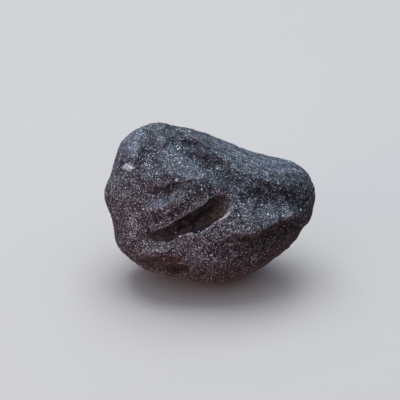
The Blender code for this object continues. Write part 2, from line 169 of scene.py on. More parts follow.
# Valleys painted darker as painted shade, their frost and specks taken away: (across, up, reach, share).
# They wander by (reach, size, seed).
PAINTED_SHADE_VALLEYS_MM = {
    "gully": (
        (-8.6, 15.2, 2.2, 1.0), (-5.8, 13.2, 2.2, 1.0), (-2.0, 10.4, 2.2, 1.0), (0.6, 8.8, 1.5, 0.9),
        (2.8, 7.3, 1.3, 0.8), (4.4, 5.8, 1.1, 0.9), (6.4, 4.8, 1.0, 1.0), (9.2, 4.5, 1.0, 1.0),
        (12.0, 3.4, 1.1, 1.0), (15.4, 2.2, 1.3, 1.0),
    ),
    "gutter": (
        (-12.0, 14.6, 1.1, 0.3), (-12.2, 11.8, 1.6, 0.35), (-11.9, 8.4, 2.0, 0.4), (-11.4, 5.6, 1.6, 0.6),
        (-12.4, 3.0, 1.1, 0.6),
    ),
    "left_top": ((-10.4, 14.6, 2.0, 0.7), (-9.4, 12.6, 1.8, 0.7), (-9.4, 10.4, 1.4, 0.4)),
    "left_brow": ((-10.4, 9.0, 1.0, 0.5), (-9.4, 6.8, 1.8, 1.0), (-9.6, 5.2, 1.3, 0.8)),
    "crest_right": ((10.4, 5.6, 0.9, 0.5), (14.0, 5.4, 1.2, 0.6), (17.6, 4.6, 1.4, 0.6)),
    "cheek": ((7.0, -2.4, 2.4, 0.3), (11.5, -1.6, 2.0, 0.3)),
    "mid_fold": ((-13.0, -2.4, 1.0, 0.3), (-9.6, -2.2, 1.0, 0.5), (-5.6, -0.8, 0.7, 0.4)),
    "cheek_left": ((2.6, -4.4, 1.2, 0.4), (5.2, -4.0, 1.2, 0.4)),
    "under_brow": (
        (-12.6, 2.9, 0.8, 0.6), (-10.0, 2.6, 0.9, 0.8), (-6.8, 3.0, 0.8, 0.8), (-3.0, 3.7, 0.7, 0.5),
    ),
    "above_furrow": (
        (-4.0, 1.6, 0.8, 0.5), (-1.2, 2.8, 1.0, 0.7), (1.4, 3.9, 1.5, 1.0), (3.8, 4.0, 1.9, 1.0),
        (6.2, 3.4, 2.1, 1.0), (9.0, 3.4, 1.5, 0.9),
    ),
    "tip": ((15.5, 1.6, 1.6, 0.8), (18.6, -0.6, 2.4, 0.7)),
    "tail": ((-12.8, -6.1, 0.5, 0.5), (-10.0, -6.3, 0.8, 0.9), (-7.2, -6.0, 0.9, 1.0)),
    "scoop": ((-12.4, -8.2, 1.2, 0.6), (-9.0, -8.0, 1.2, 0.7)),
    "notch": (
        (-7.9, 5.7, 0.3, 0.8), (-7.3, 5.2, 0.4, 1.0), (-6.6, 4.2, 0.4, 0.8), (-5.8, 3.6, 0.3, 0.6),
    ),
    "navel": ((-8.0, -13.0, 0.8, 0.8), (-6.4, -12.5, 1.2, 1.0), (-4.9, -13.0, 0.8, 0.8)),
    "lower_right": (
        (2.0, -7.6, 1.0, 0.2), (6.5, -8.0, 1.8, 0.7), (11.0, -7.0, 2.4, 1.0), (16.0, -4.4, 2.4, 1.0),
    ),
}
VALLEY_WANDERS = ((1.2 * MM, 2.2 * MM, 41), (0.5 * MM, 0.8 * MM, 43))

# Calm patches with a smoother skin and a painted bluish sheen: (across, up, half width, half height,
# share)
CALM_SHEEN_PATCHES_MM = (
    (-15.8, 11.2, 2.0, 2.8, 1.0), (-10.2, 0.4, 2.4, 1.1, 1.0), (-5.2, 7.2, 2.8, 2.4, 0.6),
    (10.6, -1.8, 4.4, 2.0, 0.35), (-3.2, -11.1, 1.9, 1.3, 0.8),
)

# The painted highlight along the crest, a pale streak: (across, up, reach, share)
CREST_HIGHLIGHT_MM = (
    (-0.8, 12.3, 0.5, 0.3), (1.7, 11.0, 0.6, 0.7), (4.9, 9.8, 0.8, 1.0), (7.9, 8.5, 0.8, 0.8),
    (9.9, 8.0, 0.9, 1.0), (12.9, 7.6, 1.1, 0.7), (15.9, 6.9, 1.1, 0.8), (17.9, 6.2, 0.5, 0.3),
)

# The streaked ground above the crest runs along it
STREAK_TURN = math.radians(-20.0)
STREAK_STRETCH = 6.0

# Where edges are worn palest and painted as catching the light: (across, up, reach, share)
PALE_HIGHLIGHT_EDGES_MM = {
    "furrow_upper_lip": (
        (-12.4, -6.1, 0.08, 0.0), (-9.1, -4.4, 0.14, 0.26), (-6.6, -3.1, 0.16, 0.34),
        (-4.1, -1.6, 0.16, 0.38), (-1.6, -0.1, 0.16, 0.38), (0.0, 1.2, 0.14, 0.22),
        (1.9, 2.2, 0.12, 0.24), (3.4, 1.7, 0.12, 0.3), (4.0, 0.2, 0.12, 0.34), (4.1, -0.8, 0.08, 0.0),
    ),
    "furrow_lip": (
        (1.6, -3.2, 0.08, 0.0), (2.3, -2.8, 0.12, 0.7), (3.2, -2.2, 0.16, 1.0),
        (3.9, -1.7, 0.14, 0.9), (4.4, -1.1, 0.08, 0.0),
    ),
    "ledge_chip": (
        (13.9, -3.4, 0.1, 0.0), (14.7, -2.8, 0.2, 0.5), (15.6, -2.1, 0.22, 0.5), (16.4, -1.5, 0.1, 0.0),
    ),
    "navel_arch": (
        (-8.1, -12.0, 0.08, 0.0), (-6.6, -11.4, 0.14, 0.6), (-5.0, -11.8, 0.16, 0.9),
        (-4.2, -12.8, 0.16, 0.9), (-3.9, -13.5, 0.08, 0.0),
    ),
}

# Brown patches besides the furrow, partly brown glass and partly painted warm light bounced from below:
# (across, up, half width, half height, share)
BROWN_AND_BOUNCE_PATCHES_MM = (
    (-9.6, -11.3, 3.4, 1.3, 0.75), (-6.2, -12.9, 1.4, 0.9, 0.8), (-11.2, 3.0, 1.6, 0.7, 0.4),
    (-10.4, -7.9, 2.8, 1.5, 0.6),
    (-3.4, -0.7, 1.3, 0.6, 0.45), (-1.2, 0.9, 1.3, 0.6, 0.6), (0.9, 2.4, 1.3, 0.6, 0.45),
)

# Bare patches with few grains: (across, up, half width, half height, share)
BARE_PATCHES_MM = (
    (-9.8, -11.4, 3.4, 1.3, 1.0), (-6.2, -12.9, 1.4, 0.9, 1.0), (-9.8, -6.4, 3.4, 0.9, 0.9),
    (-3.4, 11.6, 2.0, 1.0, 0.45), (-0.6, 9.9, 1.9, 1.0, 0.6), (1.9, 8.0, 1.5, 0.9, 0.6),
    (4.6, 3.8, 2.8, 1.1, 0.3),
)

# Where a fold's edge is worn away and runs out softly: (across, up, half width, half height, share)
SOFT_PATCHES_MM = (
    (-10.2, -7.3, 3.6, 1.3, 1.0), (-12.8, -6.2, 1.6, 1.4, 1.0), (12.5, -4.4, 4.0, 1.3, 0.8),
)
SOFT_ROUNDS = 54

# Folds that lie a little off the solid's: (across, up, shift across, shift up, reach)
SHIFTS_MM = (
    (4.4, 0.6, -0.6, 0.0, 1.8), (-10.0, 0.6, 0.6, 0.0, 1.8), (-6.4, -12.6, 1.0, 0.1, 1.5),
    (3.2, -2.2, 0.0, -0.25, 1.5), (5.0, 6.4, 0.0, -0.7, 2.0), (9.0, 4.8, 0.0, -0.4, 2.2),
)

# Grains of pale mineral: (across, up, reach). The second, a pale chip at the brow's edge, is painted white
# as a glint.
CRUST_AND_GLINT_GRAINS_MM = ((-16.0, 7.1, 1.3), (-6.55, 4.65, 0.45))
CRUST_FLATNESS = 0.65
CRUST_WANDER = 0.35
CRUST_SHARPNESS = 3
CRUST_RISE = 0.25 * MM

# Low lumps between the cups: (size, seed, share of the rise)
LUMPS = ((2.4 * MM, 1, 1.0), (1.0 * MM, 2, 0.6), (0.55 * MM, 3, 0.4))

# Other noises of the relief and of the shares: (size, seed)
COARSE_GRAIN = (0.3 * MM, 4)
CRUST_BORDER = (0.5 * MM, 5)
STREAK_RELIEF = (0.7 * MM, 6)
PATCH_BORDER = (1.4 * MM, 31)

# Where edges and the painted highlight along the crest are weaker and stronger: (middle, spread, least,
# most, size, seed)
EDGE_BREAKS = (0.85, 1.3, 0.15, 1.5, 1.8 * MM, 23)
CREST_HIGHLIGHT_BREAKS = (0.8, 1.6, 0.2, 1.0, 0.7 * MM, 8)

# The share of the streaks' relief that is left below the crest
STREAKS_BELOW_CREST = 0.3

# A patch's share at its middle, what it loses in a half width or height, and how far its border wanders
PATCH_START = 1.8
PATCH_FALL = 1.4
PATCH_WANDER = 0.5

# Etch cups
LEAST_CUP = 0.35 * MM
CUP_DEPTH_SHARE = 0.14
CUP_SEED = 11

# Between these heights above the floor the relief grows from nothing, so the footprint keeps its level
SETTLED = (0.1 * MM, 1.2 * MM)

# Rounds that level the skin to find its worn rims, which are painted paler as highlights, and how proud it
# stands where they begin and are full
RIM_ROUNDS = 5
RIM_BEND = (0.008 * MM, 0.043 * MM)

# The furrow's rounded far end has no worn rim and no painted rim highlight: (across, up, reach)
PLAIN_FAR_END_MM = (4.9, 0.9, 1.3)

# How far the stone shades itself
SHELTER_RAYS = 14
SHELTER_REACH = 6 * MM
SHELTER_START = 0.25 * MM
SHELTER_GAIN = 1.6
SHELTER_SEED = 3

# Where the furrow's far end and the stone's tip begin and are full, across the stone
FAR_END = (-1.0 * MM, 2.0 * MM)
TIP = (17.5 * MM, 20.5 * MM)

# How brown and how bare the furrow is, near and at its far end, and how brown the tip is. The furrow's
# brown is partly painted warm bounce light.
FURROW_BROWN = (0.5, 0.85)
FURROW_BARE = (1.0, 0.6)
TIP_BROWN = 0.3

# Low ground, tinted warmer as painted light from below, begins this far above the stone's middle and is
# full this far below it. Its line leans.
LOW_REACH = 8 * MM
LOW_LEAN = 0.25

# A pale edge's share on its path, and how fast occlusion takes its painted highlight away
LIP_START = 1.6
LIP_SHELTER_LOSS = 3

# Sizes of the patterns that the material draws
CLOUD_SIZE = 8 * MM
FLAKE_SIZE = 2.0 * MM
FLAKE_BEND = 1.2 * MM
FLAKE_BEND_SIZE = 0.9 * MM
CHIP_GLINT_SIZE = 1.5 * MM
MOTTLE_SIZE = 1.3 * MM
PIT_SIZE = 0.7 * MM
PIT_WALL_SIZE = 0.55 * MM
FINE_GRAIN_SIZE = 0.4 * MM
FINE_STREAK_SIZE = 0.35 * MM
FINE_STREAK_STRETCH = 1.6 * STREAK_STRETCH
GAP_SIZE = 0.3 * MM

# Sizes of the patches of dusty and of warm grains, in grains
DUST_PATCH = 2.3
WARM_PATCH = 1.4

# How fully each layer of the skin's colour covers what is under it
FROST_COVER = 0.8
SHEEN_COVER = 0.8
RIM_COVER = 0.4
PIT_GLINT_COVER = 0.5

# How much frost a valley loses to its painted shade, how far streaks replace patches on the crest, how
# much painted warm light tints low ground
VALLEY_SHADE_LOSS = 0.95
STREAKED = 0.9
LOW_LIGHT_WARMTH = 0.6

# How the roughness varies about its setting, and what a speck takes off it
ROUGHNESS_LESS = 0.08
ROUGHNESS_MORE = 0.12
SPECK_POLISH = 0.15

# The floor's paint
FLOOR_ROUGHNESS = 0.6
FLOOR_CLOUD_SIZE = 60 * MM
FLOOR_LIGHTER = 1.04

# Lights of the studio: (place, target, size)
OVERHEAD = (Vector((-0.03, 0.15, 0.45)), Vector((0, 0, 0)), 0.4)
LEFT_FILL = (Vector((-0.34, -0.34, 0.06)), Vector((0, 0, 0.015)), 0.3)

# Where the camera aims, from the stone's middle
AIM_ACROSS = -2.08 * MM
AIM_UP = 0.76 * MM
SENSOR_WIDTH = 36

# The way to the middle of the ceiling, and the room's tones from the floor up to it: (share, colour)
CEILING_WAY = Vector((-0.2, 0.05, 1.0)).normalized()
ROOM_TONES = (
    (0.0, (0.22, 0.115, 0.115)),
    (0.45, (0.104, 0.084, 0.094)),
    (0.6, (0.160, 0.160, 0.194)),
    (0.8, (0.58, 0.70, 0.91)),
    (1.0, (0.98, 1.18, 1.52)),
)


# Mesh helpers

def points_of(shape):
    return np.array([vert.co for vert in shape.verts])


def normals_of(shape):
    return np.array([vert.normal for vert in shape.verts])


def move_points(shape, points):
    for vert, point in zip(shape.verts, points):
        vert.co = point
    shape.normal_update()


def smoothed(shape, rounds):
    for _ in range(rounds):
        bmesh.ops.smooth_vert(
            shape, verts=shape.verts, factor=0.5, use_axis_x=True, use_axis_y=True, use_axis_z=True
        )
    shape.normal_update()


def object_of(shape, name, material):
    mesh = bpy.data.meshes.new(name)
    shape.to_mesh(mesh)
    shape.free()
    mesh.materials.append(material)
    piece = bpy.data.objects.new(name, mesh)
    bpy.context.scene.collection.objects.link(piece)
    return piece


def fine_copy(node, cell):
    """A copy of a solid's surface in even faces of one size."""
    shape = bmesh.new()
    shape.from_mesh(node.data)
    bmesh.ops.remove_doubles(shape, verts=shape.verts, dist=0.001 * MM)
    bmesh.ops.recalc_face_normals(shape, faces=shape.faces)
    mesh = bpy.data.meshes.new("coarse")
    shape.to_mesh(mesh)
    shape.free()
    coarse = bpy.data.objects.new("coarse", mesh)
    bpy.context.scene.collection.objects.link(coarse)
    remesh = coarse.modifiers.new("even", "REMESH")
    remesh.mode = "VOXEL"
    remesh.voxel_size = cell
    fine = bmesh.new()
    fine.from_object(coarse, bpy.context.evaluated_depsgraph_get())
    bpy.data.objects.remove(coarse)
    bpy.data.meshes.remove(mesh)
    return fine


def levelled(shape, rounds):
    """The points drawn towards their neighbours, a little more in each round."""
    points = points_of(shape)
    links = np.array([[edge.verts[0].index, edge.verts[1].index] for edge in shape.edges])
    count = np.bincount(links.ravel(), minlength=len(points))[:, None]
    smooth_points = points.copy()
    for _ in range(rounds):
        total = np.zeros_like(points)
        np.add.at(total, links[:, 0], smooth_points[links[:, 1]])
        np.add.at(total, links[:, 1], smooth_points[links[:, 0]])
        smooth_points = 0.5 * smooth_points + 0.5 * total / count
    return smooth_points


def write_share(piece, name, values):
    layer = piece.data.attributes.new(name, "FLOAT", "POINT")
    layer.data.foreach_set("value", np.ascontiguousarray(values, np.float32))


# Paths, noises and patches

def climb(values, start, end):
    """0 up to the start and 1 from the end on, with an even rise between them."""
    return np.clip((values - start) / (end - start), 0, 1)


def between(share, first, second):
    """From the first value, where the share is 0, to the second, where it is 1."""
    return first + (second - first) * share


def in_front(points):
    """Which points are on the face's half of the stone."""
    return points[:, 2] > 0


def noise_field(points, size, seed):
    shift = Vector((seed * 7.3, seed * 3.1, seed * 5.7))
    return np.array([noise.noise(Vector(point) / size + shift) for point in points])


def uneven(points, middle, spread, least, most, size, seed):
    """A share that varies from place to place about its middle."""
    return np.clip(middle + spread * noise_field(points, size, seed), least, most)


def ragged_points(points, reach, size, seed):
    """The points a little out of place, so that what is drawn through them wanders. Takes two seeds."""
    ragged = points.copy()
    for axis in (0, 1):
        ragged[:, axis] += reach * noise_field(points, size, seed + axis)
    return ragged


def curve_points(rows):
    """Points of a Catmull-Rom curve through the rows, in metres."""
    rows = np.array(rows) * MM
    sampled = []
    for span in range(len(rows) - 1):
        before, start, end, after = rows[np.clip(np.arange(span - 1, span + 3), 0, len(rows) - 1)]
        for t in np.linspace(0.0, 1.0, CURVE_STEPS, endpoint=False):
            bend = 2 * before - 5 * start + 4 * end - after
            twist = 3 * start - before - 3 * end + after
            sampled.append(0.5 * (2 * start + (end - before) * t + bend * t ** 2 + twist * t ** 3))
    sampled.append(rows[-1])
    return np.array(sampled)


def nearest_on_path(points, path):
    """The path's row nearest to each point in the plane of the face, its distance, and which lie above."""
    nearest = np.full(len(points), np.inf)
    rows = np.zeros((len(points), path.shape[1]))
    above = np.zeros(len(points), bool)
    for start, end in zip(path[:-1], path[1:]):
        along = end[:2] - start[:2]
        offset = points[:, :2] - start[:2]
        share = np.clip(offset @ along / (along @ along), 0, 1)
        gap = offset - np.outer(share, along)
        distance = np.hypot(gap[:, 0], gap[:, 1])
        is_nearer = distance < nearest
        nearest = np.where(is_nearer, distance, nearest)
        rows[is_nearer] = (start + np.outer(share, end - start))[is_nearer]
        above = np.where(is_nearer, gap[:, 1] * along[0] > gap[:, 0] * along[1], above)
    return rows, nearest, above


def band_share(points, table):
    """How far each point lies in a soft band along a path, whose rows end in their reach and share."""
    rows, gap, _ = nearest_on_path(points, curve_points(table))
    return rows[:, 3] / MM * np.exp(-((gap / rows[:, 2]) ** 2)) * in_front(points)


def patch_share(points, patches):
    """How far each point lies in one of the patches, whose borders wander."""
    share = np.zeros(len(points))
    wander = PATCH_WANDER * noise_field(points, *PATCH_BORDER)
    for across, up, half_width, half_height, most in patches:
        gap = np.hypot((points[:, 0] / MM - across) / half_width, (points[:, 1] / MM - up) / half_height)
        share = np.maximum(share, most * np.clip(PATCH_START - PATCH_FALL * gap + wander, 0, 1))
    return share * in_front(points)


def mouth_share(points):
    """How far each point lies inside the mouth of the furrow."""
    ring = np.array(FURROW_MOUTH_MM) * MM
    ragged = ragged_points(points, *CRISP_WANDER)
    inside = np.zeros(len(points), bool)
    for start, end in zip(ring[:-1], ring[1:]):
        spans = (start[1] > ragged[:, 1]) != (end[1] > ragged[:, 1])
        share = (ragged[:, 1] - start[1]) / (end[1] - start[1])
        inside ^= spans & (ragged[:, 0] < start[0] + share * (end[0] - start[0]))
    gap = nearest_on_path(ragged, ring)[1]
    return inside * np.clip(gap / MOUTH_FADE, 0, 1) * in_front(points)


def streak_points(points):
    """The points in a frame whose first axis runs along the streaks, drawn out by their stretch."""
    across, up, out = points.T
    along = across * math.cos(STREAK_TURN) + up * math.sin(STREAK_TURN)
    over = up * math.cos(STREAK_TURN) - across * math.sin(STREAK_TURN)
    return np.stack((along / STREAK_STRETCH, over, out), axis=1)


def crest_share(points):
    """The ground above the crest and the whole back, which the streaks run over."""
    _, gap, above = nearest_on_path(points, curve_points(EDGES_MM["crest_edge"]))
    return np.where(above | (points[:, 2] < 0), np.clip(gap / MM, 0, 1), 0)


def crust_share(points):
    """How far each point lies in a grain of pale mineral."""
    ragged = CRUST_WANDER * noise_field(points, *CRUST_BORDER)
    share = np.zeros(len(points))
    for middle_across, middle_up, reach in CRUST_AND_GLINT_GRAINS_MM:
        across = (points[:, 0] / MM - middle_across) / reach
        up = (points[:, 1] / MM - middle_up) / (CRUST_FLATNESS * reach)
        inside = (1.0 - np.hypot(across, up) + ragged) * CRUST_SHARPNESS
        share = np.maximum(share, np.clip(inside, 0, 1))
    return share * in_front(points)


# Relief

def edge_height(points, facing):
    """How far the folds' edges stand out of the skin and their hollows lie in it."""
    height = np.zeros(len(points))
    worn = ragged_points(points, *WORN_WANDER)
    crisp = ragged_points(points, *CRISP_WANDER)
    broken = uneven(points, *EDGE_BREAKS)
    for name, table in EDGES_MM.items():
        rows, gap, above = nearest_on_path(crisp if name in CRISP_EDGES else worn, curve_points(table))
        reach = np.where(above, rows[:, 3], rows[:, 4])
        rise = rows[:, 2] * np.where(above, 1.0, -DROPS[name])
        height += rise * np.where(rows[:, 2] > 0, np.exp(-gap / reach), np.exp(-((gap / reach) ** 2)))
    return height * broken * facing


def cup_depth(points, count, largest):
    """Round cups that overlap, so sharp rims are left between them."""
    tree = KDTree(len(points))
    for index, point in enumerate(points):
        tree.insert(point, index)
    tree.balance()
    chance = np.random.default_rng(CUP_SEED)
    depth = np.zeros(len(points))
    for index in chance.integers(0, len(points), count):
        radius = LEAST_CUP + (largest - LEAST_CUP) * chance.random() ** 2
        for _, near, gap in tree.find_range(points[index], radius):
            depth[near] = max(depth[near], CUP_DEPTH_SHARE * radius * (1 - (gap / radius) ** 2))
    return depth


def skin_height(points, stone_points, facing, look):
    """How far the skin stands out of the softened solid, at points given in the room and in the stone."""
    height = edge_height(stone_points, facing)
    for size, seed, share in LUMPS:
        height += look.lump_rise * share * noise_field(stone_points, size, seed)
    height += look.grain_rise * noise_field(stone_points, *COARSE_GRAIN)
    streaks = noise_field(streak_points(stone_points), *STREAK_RELIEF)
    height += look.streak_rise * streaks * between(crest_share(stone_points), STREAKS_BELOW_CREST, 1.0)
    cups = cup_depth(points, look.cup_count, look.cup_radius)
    height += cups.mean() - cups
    height += CRUST_RISE * crust_share(stone_points)
    return height * climb(points[:, 2], *SETTLED)


def fold_shift(points):
    """How far each point moves across and up so that its fold lies in its own place."""
    shift = np.zeros((len(points), 3))
    for across, up, shift_across, shift_up, reach in SHIFTS_MM:
        gap = np.hypot(points[:, 0] / MM - across, points[:, 1] / MM - up) / reach
        share = np.exp(-0.5 * gap ** 2) * in_front(points)
        shift[:, 0] += share * shift_across * MM
        shift[:, 1] += share * shift_up * MM
    return shift


# Shares: how much of something the skin has at each point, from 0 to 1

def shelter_share(points, normals, solid):
    """How much of the room is hidden from each point by the stone itself; the material paints shade with
    it.
    """
    chance = np.random.default_rng(SHELTER_SEED)
    directions = chance.normal(size=(SHELTER_RAYS, 3))
    directions = [Vector(direction).normalized() for direction in directions]
    hidden = np.zeros(len(points))
    for index, (point, normal) in enumerate(zip(points, normals)):
        outward = Vector(normal)
        start = Vector(point) + outward * SHELTER_START
        for direction in directions:
            lean = direction.dot(outward)
            ray = direction - outward * (2 * lean) if lean < 0 else direction
            if solid.ray_cast(start, ray, SHELTER_REACH)[0]:
                hidden[index] += abs(lean)
    return np.clip(SHELTER_GAIN * hidden / (0.5 * SHELTER_RAYS), 0, 1)


def valley_shade_share(points):
    """Where valleys are painted darker, as painted shade."""
    ragged = points.copy()
    for wander in VALLEY_WANDERS:
        ragged += ragged_points(points, *wander) - points
    return np.max([band_share(ragged, table) for table in PAINTED_SHADE_VALLEYS_MM.values()], axis=0)


def rim_share(points, shape):
    """Where the skin stands proud of the skin around it, except at the furrow's far end."""
    proud = ((points_of(shape) - levelled(shape, RIM_ROUNDS)) * normals_of(shape)).sum(axis=1)
    across, up, reach = (length * MM for length in PLAIN_FAR_END_MM)
    plain_end = np.exp(-(np.hypot(points[:, 0] - across, points[:, 1] - up) / reach) ** 2)
    return climb(proud, *RIM_BEND) * (1 - plain_end)


def lip_share(points, occluded):
    """Where open edges are worn palest and painted as catching the light."""
    lip = np.zeros(len(points))
    for table in PALE_HIGHLIGHT_EDGES_MM.values():
        rows, gap, _ = nearest_on_path(points, curve_points(table))
        lip = np.maximum(lip, rows[:, 3] / MM * np.clip(LIP_START - gap / rows[:, 2], 0, 1))
    return lip * np.clip(LIP_START - LIP_SHELTER_LOSS * occluded, 0, 1) * in_front(points)


def skin_shares(points, shape, solid):
    """The shares that the skin's material reads, by name, for points in the stone's frame."""
    occluded = shelter_share(points_of(shape), normals_of(shape), solid)
    valley_shade = valley_shade_share(points)
    in_furrow = mouth_share(points)
    far_end = climb(points[:, 0], *FAR_END)
    furrow_brown = in_furrow * between(far_end, *FURROW_BROWN)
    furrow_bare = in_furrow * between(far_end, *FURROW_BARE)
    tip_brown = TIP_BROWN * climb(points[:, 0], *TIP)
    broken = uneven(streak_points(points), *CREST_HIGHLIGHT_BREAKS)
    crest_highlight = band_share(points, CREST_HIGHLIGHT_MM) * broken
    calm = np.maximum(patch_share(points, CALM_SHEEN_PATCHES_MM), crest_highlight)
    depth = -(points[:, 1] + LOW_LEAN * points[:, 0])
    return {
        "worn_rim_highlight": rim_share(points, shape),
        "occluded": occluded,
        "valley_shade": valley_shade,
        "brown_and_warm_bounce": np.max([furrow_brown, tip_brown, patch_share(points, BROWN_AND_BOUNCE_PATCHES_MM)], axis=0),
        "calm": calm * (1 - valley_shade) * (1 - occluded),
        "lip": lip_share(points, occluded),
        # low ground takes a warm tint, painted as light from below
        "low": climb(depth, -LOW_REACH, LOW_REACH),
        "bare": np.maximum(patch_share(points, BARE_PATCHES_MM), furrow_bare),
        "crest": crest_share(points),
        "crust": crust_share(points),
    }


# Material helpers

def noise_of(tree, place, size, detail, output="Fac"):
    node = tree.nodes.new("ShaderNodeTexNoise")
    node.inputs["Scale"].default_value = 1 / size
    node.inputs["Detail"].default_value = detail
    tree.links.new(place, node.inputs["Vector"])
    return node.outputs[output]


def cells_of(tree, place, size, output="Distance", feature="F1"):
    node = tree.nodes.new("ShaderNodeTexVoronoi")
    node.feature = feature
    node.inputs["Scale"].default_value = 1 / size
    tree.links.new(place, node.inputs["Vector"])
    return node.outputs[output]


def share_of(tree, name):
    node = tree.nodes.new("ShaderNodeAttribute")
    node.attribute_name = name
    return node.outputs["Fac"]


def ranged(tree, value, low, high, to_low=0.0, to_high=1.0, soft=True):
    node = tree.nodes.new("ShaderNodeMapRange")
    node.interpolation_type = "SMOOTHSTEP" if soft else "LINEAR"
    node.inputs["From Min"].default_value = low
    node.inputs["From Max"].default_value = high
    node.inputs["To Min"].default_value = to_low
    node.inputs["To Max"].default_value = to_high
    tree.links.new(value, node.inputs["Value"])
    return node.outputs["Result"]


def maths(tree, operation, first, second):
    node = tree.nodes.new("ShaderNodeMath")
    node.operation = operation
    for socket, value in zip(node.inputs, (first, second)):
        if isinstance(value, (int, float)):
            socket.default_value = value
        else:
            tree.links.new(value, socket)
    return node.outputs["Value"]


def times(tree, first, *others):
    for other in others:
        first = maths(tree, "MULTIPLY", first, other)
    return first


def mixed(tree, share, first, second):
    """A colour between two, each a colour or another node's colour."""
    node = tree.nodes.new("ShaderNodeMix")
    node.data_type = "RGBA"
    tree.links.new(share, node.inputs["Factor"])
    for name, value in (("A", first), ("B", second)):
        socket = [each for each in node.inputs if each.name == name and each.type == "RGBA"][0]
        if hasattr(value, "is_output"):
            tree.links.new(value, socket)
        else:
            socket.default_value = tuple(value)[:3] + (1.0,)
    return [each for each in node.outputs if each.type == "RGBA"][0]


def bumped(tree, height, depth, normal=None):
    node = tree.nodes.new("ShaderNodeBump")
    node.inputs["Distance"].default_value = depth
    node.inputs["Strength"].default_value = 1.0
    tree.links.new(height, node.inputs["Height"])
    if normal is not None:
        tree.links.new(normal, node.inputs["Normal"])
    return node.outputs["Normal"]


def streaked(tree, place, stretch):
    """The place in a frame whose first axis runs along the streaks, drawn out by the stretch."""
    along = Vector((math.cos(STREAK_TURN), 0, 0)) + STONE_UP * math.sin(STREAK_TURN)
    joined = tree.nodes.new("ShaderNodeCombineXYZ")
    for socket, axis in zip(joined.inputs, (along / stretch, STONE_OUT.cross(along), STONE_OUT)):
        part = tree.nodes.new("ShaderNodeVectorMath")
        part.operation = "DOT_PRODUCT"
        part.inputs[1].default_value = axis
        tree.links.new(place, part.inputs[0])
        tree.links.new(part.outputs["Value"], socket)
    return joined.outputs["Vector"]


def bent_place(tree, place, reach, size):
    """The place pushed about by a noise, so that the cells drawn on it have no straight sides."""
    bent = tree.nodes.new("ShaderNodeVectorMath")
    bent.operation = "MULTIPLY_ADD"
    bent.inputs[1].default_value = (reach,) * 3
    tree.links.new(noise_of(tree, place, size, 3, output="Color"), bent.inputs[0])
    tree.links.new(place, bent.inputs[2])
    return bent.outputs["Vector"]


def plain_material(name):
    """A new material, its nodes, its shader and its place on the object."""
    material = bpy.data.materials.new(name)
    material.use_nodes = True
    tree = material.node_tree
    place = tree.nodes.new("ShaderNodeTexCoord").outputs["Object"]
    return material, tree, tree.nodes["Principled BSDF"], place


# Materials

def skin_patterns(tree, place, look):
    """The noises, cells and shares that the skin's colours and bumps are made from."""
    shares = ("worn_rim_highlight", "brown_and_warm_bounce", "calm", "lip", "low", "bare", "crest", "crust")
    return SimpleNamespace(
        cloud=noise_of(tree, place, CLOUD_SIZE, 3),
        mottle=noise_of(tree, place, MOTTLE_SIZE, 4),
        grain=noise_of(tree, place, FINE_GRAIN_SIZE, 2),
        gaps=noise_of(tree, place, GAP_SIZE, 2),
        streaks=noise_of(tree, streaked(tree, place, FINE_STREAK_STRETCH), FINE_STREAK_SIZE, 3),
        pits=cells_of(tree, place, PIT_SIZE),
        pit_walls=cells_of(tree, place, PIT_WALL_SIZE, feature="DISTANCE_TO_EDGE"),
        flakes=cells_of(tree, bent_place(tree, place, FLAKE_BEND, FLAKE_BEND_SIZE), FLAKE_SIZE, "Color"),
        sand=cells_of(tree, place, look.sand_size),
        sand_chance=cells_of(tree, place, look.sand_size, "Color"),
        dust_chance=cells_of(tree, place, look.sand_size * DUST_PATCH, "Color"),
        warm_chance=cells_of(tree, place, look.sand_size * WARM_PATCH, "Color"),
        glint=cells_of(tree, place, look.speck_glint_spacing),
        glint_chance=cells_of(tree, place, look.speck_glint_spacing, "Color"),
        chip_glint=cells_of(tree, place, CHIP_GLINT_SIZE),
        chip_glint_chance=cells_of(tree, place, CHIP_GLINT_SIZE, "Color"),
        # open and high are where no shade is painted: away from the stone's own occlusion and outside the
        # painted valley shade
        open=maths(tree, "SUBTRACT", 1.0, share_of(tree, "occluded")),
        high=maths(tree, "SUBTRACT", 1.0, times(tree, share_of(tree, "valley_shade"), VALLEY_SHADE_LOSS)),
        **{name: share_of(tree, name) for name in shares},
    )


def frosted_ground(tree, skin):
    """Where frost can lie: in flakes on the face, and in streaks above the crest and on the back; less of
    it where the stone hides the room from itself, so shade is painted in its hollows.
    """
    mottle = ranged(tree, skin.mottle, 0.42, 0.60, 0.2, 1.0)
    patches = times(tree, mottle, ranged(tree, skin.flakes, 0.3, 0.7, 0.6, 1.25))
    ground = tree.nodes.new("ShaderNodeMix")
    tree.links.new(times(tree, skin.crest, STREAKED), ground.inputs["Factor"])
    tree.links.new(patches, ground.inputs["A"])
    tree.links.new(ranged(tree, skin.streaks, 0.46, 0.56), ground.inputs["B"])
    return times(tree, skin.open, ground.outputs["Result"], ranged(tree, skin.bare, 0.0, 1.0, 1.0, 0.2))


